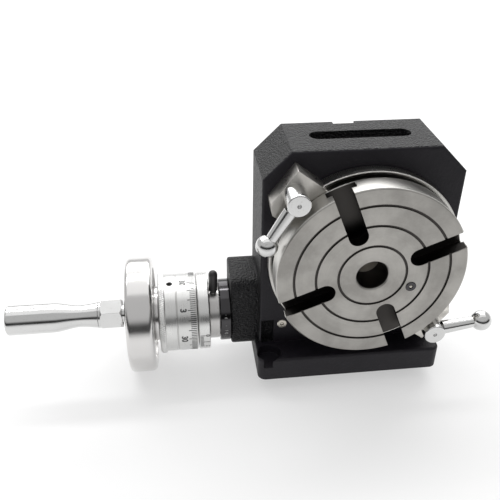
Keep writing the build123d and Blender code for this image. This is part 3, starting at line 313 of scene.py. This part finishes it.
worm_centre = (0, 0, WORM_Z)
spindle_centre = (0, 0, SPINDLE_Z)
paint = wrinkle_paint()
table_steel = ground_steel()
dog_steel = flat_steel()
sleeve_steel = turned_steel(
    "turned_steel", "X", worm_centre, ((0.50, 0.49, 0.48), (0.62, 0.61, 0.60)), (0.24, 0.36), 2400.0)
rear_steel = turned_steel(
    "turned_steel_rear", "Y", spindle_centre,
    ((0.44, 0.43, 0.42), (0.56, 0.55, 0.54)), (0.28, 0.40), 1800.0)
dial_chrome = turned_steel(
    "satin_chrome", "X", worm_centre, ((0.68, 0.68, 0.67), (0.78, 0.78, 0.77)), (0.24, 0.33), 2600.0)
wheel_chrome = turned_steel(
    "handwheel_chrome", "X", worm_centre,
    ((0.66, 0.65, 0.645), (0.72, 0.71, 0.70)), (0.15, 0.22), 2000.0, 0.8 * MM)
chrome = polished_chrome()
nickel = polished_chrome("nickel", (0.60, 0.57, 0.51), 0.14)
oxide = black_oxide()
vinyl = dipped_vinyl()
brass = bronze()
ink = fill_paint("ink_black", (0.010, 0.010, 0.011), (0.05, 0.05, 0.05))
pale_ink = fill_paint("ink_pale", (0.20, 0.20, 0.20), (0.42, 0.42, 0.41))

finishes = {
    paint: ["body_casting"],
    table_steel: ["table_plate"],
    dog_steel: ["clamp_dog_left", "clamp_dog_right"],
    sleeve_steel: [
        "worm_shaft", "thrust_nut", "eccentric_sleeve", "sleeve_lever_pin",
        "handwheel_key", "handwheel_washer",
    ],
    rear_steel: ["rear_cover", "spindle_nut", "wheel_key"],
    dial_chrome: ["dial", "vernier_ring"],
    wheel_chrome: ["handwheel"],
    chrome: [
        "handwheel_nut", "handle_stud", "handle_end_screw", "handle_grip",
        "clamp_bolt_left", "clamp_lever_left", "clamp_ball_left",
        "clamp_bolt_right", "clamp_lever_right", "clamp_ball_right",
    ],
    nickel: ["body_oiler_cup", "body_oiler_ball", "table_oiler_ball"],
    oxide: [
        "housing_ring", "housing_ring_screws", "rear_cover_screws",
        "vernier_screws", "dial_set_screw", "table_oiler_cup",
    ],
    vinyl: ["sleeve_lever_grip"],
    brass: ["spindle_bush", "worm_wheel", "worm_bush_left", "worm_bush_right"],
}
for finish, names in finishes.items():
    for name in names:
        slots = nodes[name].data.materials
        slots.clear()
        slots.append(finish)


# ---------------------------------------------------------------- pieces laid on turned surfaces
def around_worm(angle, x, radius):
    """A point about the worm's axis; the angle counts up from straight forward."""
    return Vector((x, -radius * cos(angle), WORM_Z + radius * sin(angle)))


def around_spindle(angle, y, radius):
    """A point about the spindle; the angle counts from +X towards +Z."""
    return Vector((radius * cos(angle), y, SPINDLE_Z + radius * sin(angle)))


def mesh_piece(name, points, faces, material, body, smooth=False):
    mesh = bpy.data.meshes.new(name)
    mesh.from_pydata([tuple(p) for p in points], [], faces)
    mesh.validate()
    mesh.materials.append(material)
    mesh.polygons.foreach_set("use_smooth", [smooth] * len(mesh.polygons))
    piece = bpy.data.objects.new(name, mesh)
    bpy.context.scene.collection.objects.link(piece)
    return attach(piece, body)


def ticks(name, place, radius, marks, width, material, body):
    """Narrow strips on a turned surface. Each mark is (angle, start along the axis, end)."""
    points, faces = [], []
    half = width / 2 / radius
    for angle, start, end in marks:
        first = len(points)
        for a, along in ((-half, start), (half, start), (half, end), (-half, end)):
            points.append(place(angle + a, along, radius + PROUD))
        faces.append((first, first + 1, first + 2, first + 3))
    return mesh_piece(name, points, faces, material, body)


def glyph_outline(text, size):
    """Flat mesh of a short text, centred: x along the reading direction and y up."""
    curve = bpy.data.curves.new("glyph", "FONT")
    curve.body = text
    curve.size = size
    curve.align_x, curve.align_y = "CENTER", "CENTER"
    curve.resolution_u = 3
    curve.offset = 0.035 * size
    holder = bpy.data.objects.new("glyph", curve)
    bpy.context.scene.collection.objects.link(holder)
    bpy.context.view_layer.update()
    mesh = bpy.data.meshes.new_from_object(holder.evaluated_get(bpy.context.evaluated_depsgraph_get()))
    points = [v.co.copy() for v in mesh.vertices]
    faces = [tuple(p.vertices) for p in mesh.polygons]
    bpy.data.objects.remove(holder)
    bpy.data.meshes.remove(mesh)
    return points, faces


def numerals(name, place, radius, labels, size, material, body, read, up):
    """Figures laid on a turned surface.

    Each label is (text, angle, station along the axis). read is the sense in which the text
    runs round the axis and up is the sense of its top along the axis, each 1 or -1.
    """
    points, faces = [], []
    for text, angle, along in labels:
        outline, polygons = glyph_outline(text, size)
        first = len(points)
        for p in outline:
            points.append(place(angle + read * p.x / radius, along + up * p.y, radius + PROUD))
        faces += [tuple(first + i for i in polygon) for polygon in polygons]
    return mesh_piece(name, points, faces, material, body)


# Dial: two minutes of arc a division, figures at whole and half degrees.
dial_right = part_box("dial")[1].x
DIVISIONS = 120
LABEL_STEP = 15
MARK_GAP = 0.7 * MM  # from a ring's edge to its marks
MARK_WIDTH = 0.52 * MM
three_at = radians(38)
dial_marks = []
for i in range(DIVISIONS):
    length = (5.0 if i % 5 == 0 else 3.4) * MM
    start = dial_right - MARK_GAP
    dial_marks.append((three_at + i * tau / DIVISIONS, start, start - length))
ticks("dial_ticks", around_worm, DIAL_R, dial_marks, MARK_WIDTH, ink, "dial")
dial_labels = []
for i, text in enumerate(("3", "30", "0", "30", "1", "30", "2", "30")):
    dial_labels.append((text, three_at - i * LABEL_STEP * tau / DIVISIONS, dial_right - 8.6 * MM))
numerals("dial_figures", around_worm, DIAL_R, dial_labels, 5.2 * MM, ink, "dial", -1, 1)

# Knurled grip of the dial: one set of slanting ridges.
KNURL_R = 25.6 * MM
KNURL_RIDGES = 120
KNURL_SAMPLES = 8
KNURL_ROWS = 14
KNURL_HEIGHT = 0.34 * MM
KNURL_SINK = 0.05 * MM
KNURL_SLANT = radians(3.4)
knurl_right = dial_right - 20.0 * MM
knurl_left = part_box("dial")[0].x + 0.4 * MM
points, faces = [], []
columns = KNURL_RIDGES * KNURL_SAMPLES
for row in range(KNURL_ROWS):
    share = row / (KNURL_ROWS - 1)
    edge = min(1.0, 6 * share, 6 * (1 - share))
    along = knurl_right + (knurl_left - knurl_right) * share
    for column in range(columns):
        angle = column * tau / columns
        wave = 0.5 + 0.5 * cos(KNURL_RIDGES * (angle + KNURL_SLANT * share))
        height = KNURL_HEIGHT * wave * edge - KNURL_SINK
        points.append(around_worm(angle, along, KNURL_R + height))
for row in range(KNURL_ROWS - 1):
    for column in range(columns):
        a, b = row * columns + column, row * columns + (column + 1) % columns
        faces.append((a, a + columns, b + columns, b))
knurl = mesh_piece("dial_knurl", points, faces, dial_chrome, "dial", smooth=True)

# Vernier: ten divisions low on the front, with figures at its ends and its middle.
vernier_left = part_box("vernier_ring")[0].x
VERNIER_STEP = tau / DIVISIONS * 0.9
vernier_zero = radians(-3)
vernier_marks = []
for i in range(11):
    length = (3.0 if i % 5 == 0 else 2.0) * MM
    start = vernier_left + MARK_GAP
    vernier_marks.append((vernier_zero - i * VERNIER_STEP, start, start + length))
ticks("vernier_ticks", around_worm, DIAL_R, vernier_marks, MARK_WIDTH, ink, "sleeve")
vernier_labels = []
for i, text in enumerate(("0", "1", "2")):
    vernier_labels.append((text, vernier_zero - 5 * i * VERNIER_STEP, vernier_left + 5.2 * MM))
numerals("vernier_figures", around_worm, DIAL_R, vernier_labels, 3.4 * MM, ink, "sleeve", -1, 1)

# Table's degree scale on the flange behind the face.
degree_marks = []
for i in range(360):
    length = (3.2 if i % 10 == 0 else 2.4 if i % 5 == 0 else 1.6) * MM
    degree_marks.append((radians(i), SCALE_BACK_Y, SCALE_BACK_Y - length))
ticks("table_degree_ticks", around_spindle, SCALE_R, degree_marks, 0.22 * MM, ink, "table")
degree_labels = []
for i in range(36):
    degree_labels.append((str(10 * i), radians(90 - 10 * i), SCALE_BACK_Y - 5.1 * MM))
numerals("table_degree_figures", around_spindle, SCALE_R, degree_labels, 2.5 * MM, ink, "table", -1, 1)


# Ring on the housing: an engraved pointer and position marks for the release lever.
SLEEVE_SHIFT = 1.2728 * MM
RING_R = 20.0 * MM


def around_sleeve(angle, x, radius):
    """A point about the sleeve's axis, which lies behind and below the worm's."""
    return around_worm(angle, x, radius) + Vector((0, SLEEVE_SHIFT, -SLEEVE_SHIFT))


ring_left, ring_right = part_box("housing_ring")[0].x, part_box("housing_ring")[1].x
ring_middle = (ring_left + ring_right) / 2
# Pointer: (angle in radians, mm along the axis) from its middle, head upward.
pointer = [
    (0.27, 0.0), (0.12, 1.0), (0.14, 0.35), (-0.13, 0.35),
    (-0.13, -0.35), (0.14, -0.35), (0.12, -1.0),
]
pointer_faces = [(0, 1, 2), (0, 2, 5), (0, 5, 6), (2, 3, 4), (2, 4, 5)]
points = [around_sleeve(radians(12) + a, ring_middle + x * MM, RING_R + PROUD) for a, x in pointer]
mesh_piece("ring_pointer", points, pointer_faces, pale_ink, "base")
ring_labels = [("1", radians(-6), ring_middle), ("0", radians(-13), ring_middle)]
numerals("ring_figures", around_sleeve, RING_R, ring_labels, 3.0 * MM, pale_ink, "base", -1, 1)
ring_marks = [(radians(-19 - 4 * i), ring_left + 1.6 * MM, ring_left + 4.2 * MM) for i in range(5)]
ticks("ring_ticks", around_sleeve, RING_R, ring_marks, 0.25 * MM, pale_ink, "base")

# ---------------------------------------------------------------- floor, light and camera
# The floor is a light table: a lit white sheet, so shadows on it stay pale.
sheet = Nodes("stage_white")
mottle = sheet.noise(sheet.place, 4.0)
ahead = sheet.span(sheet.xyz()[1], -0.50, -0.16)
sheet.wire(sheet.span(ahead, 0.0, 1.0, 0.20, 0.46), sheet.shader.inputs["Emission Strength"])
sheet.finish(sheet.blend(mottle, rgb(0.50, 0.50, 0.50), rgb(0.52, 0.52, 0.52)), 0.8,
             Emission_Color=rgb(1.0, 1.0, 1.0), Specular_IOR_Level=0.1)
FLOOR_HALF = 2.2
FLOOR_Z = cad_box[0][2] - 0.0005
floor_mesh = bpy.data.meshes.new("floor")
floor_mesh.from_pydata(
    [(-FLOOR_HALF, -FLOOR_HALF, FLOOR_Z), (FLOOR_HALF, -FLOOR_HALF, FLOOR_Z),
     (FLOOR_HALF, FLOOR_HALF, FLOOR_Z), (-FLOOR_HALF, FLOOR_HALF, FLOOR_Z)], [], [(0, 1, 2, 3)])
floor_mesh.materials.append(sheet.material)
floor = bpy.data.objects.new("floor", floor_mesh)
bpy.context.scene.collection.objects.link(floor)

# The room: pale above and behind, with a dark band low in front, where a studio's own room is.
world = bpy.data.worlds.new("studio")
world.use_nodes = True
bpy.context.scene.world = world
tree = world.node_tree
sky = tree.nodes["Background"]


def room_node(kind, **settings):
    node = tree.nodes.new(kind)
    for key, value in settings.items():
        setattr(node, key, value)
    return node


def room_span(value, low, high, to_low, to_high):
    node = room_node("ShaderNodeMapRange", interpolation_type="SMOOTHSTEP")
    tree.links.new(value, node.inputs[0])
    for number, socket in zip((low, high, to_low, to_high), list(node.inputs)[1:5]):
        socket.default_value = number
    return node.outputs[0]


def room_math(operation, a, b):
    node = room_node("ShaderNodeMath", operation=operation)
    tree.links.new(a, node.inputs[0])
    tree.links.new(b, node.inputs[1])
    return node.outputs[0]


direction = room_node("ShaderNodeTexCoord")
split = room_node("ShaderNodeSeparateXYZ")
tree.links.new(direction.outputs["Generated"], split.inputs[0])
low = room_span(split.outputs[2], 0.16, 0.52, 1.0, 0.0)
in_front = room_span(split.outputs[1], -0.40, 0.05, 1.0, 0.0)
room = room_span(room_math("MULTIPLY", low, in_front), 0.0, 1.0, 0.62, 0.04)
backdrop = room_node("ShaderNodeLightPath").outputs["Is Camera Ray"]
tree.links.new(room_math("MAXIMUM", room, backdrop), sky.inputs["Strength"])
sky.inputs["Color"].default_value = rgb(1.0, 1.0, 1.0)


def softbox(name, place, aim, width, height, power):
    light = bpy.data.lights.new(name, "AREA")
    light.shape = "RECTANGLE"
    light.size, light.size_y = width, height
    light.energy = power
    holder = bpy.data.objects.new(name, light)
    holder.location = place
    holder.rotation_mode = "QUATERNION"
    holder.rotation_quaternion = (Vector(aim) - Vector(place)).to_track_quat("-Z", "Y")
    bpy.context.scene.collection.objects.link(holder)


softbox("light_top", (0.0, 0.25, 1.15), (0, 0, 0.05), 2.0, 1.2, 4.0)
softbox("light_back", (0.1, 1.60, 1.05), (0, 0, 0.06), 3.0, 1.0, 22.0)
softbox("light_strip", (-0.1, 0.40, 0.92), (-0.1, 0, 0.03), 1.6, 0.10, 4.5)

# The camera's place and turn, in the row frame.
CAMERA_AT = (-0.1052, -0.3385, 0.2886)
CAMERA_RIGHT = Vector((0.9931, -0.11702, 0.00747))
CAMERA_FORWARD = Vector((0.10266, 0.83689, -0.53766))
LENS_MM = 46.97
camera_data = bpy.data.cameras.new("camera")
camera_data.sensor_width = 36.0
camera_data.lens = LENS_MM
camera_data.clip_start = 0.01
back = -CAMERA_FORWARD.normalized()
up = back.cross(CAMERA_RIGHT).normalized()
right = up.cross(back)
turn = Matrix((right, up, back)).transposed().to_4x4()
camera = bpy.data.objects.new("camera", camera_data)
camera.matrix_world = Matrix.Translation(CAMERA_AT) @ turn
bpy.context.scene.collection.objects.link(camera)
bpy.context.scene.camera = camera
bpy.context.scene.view_settings.view_transform = "Standard"
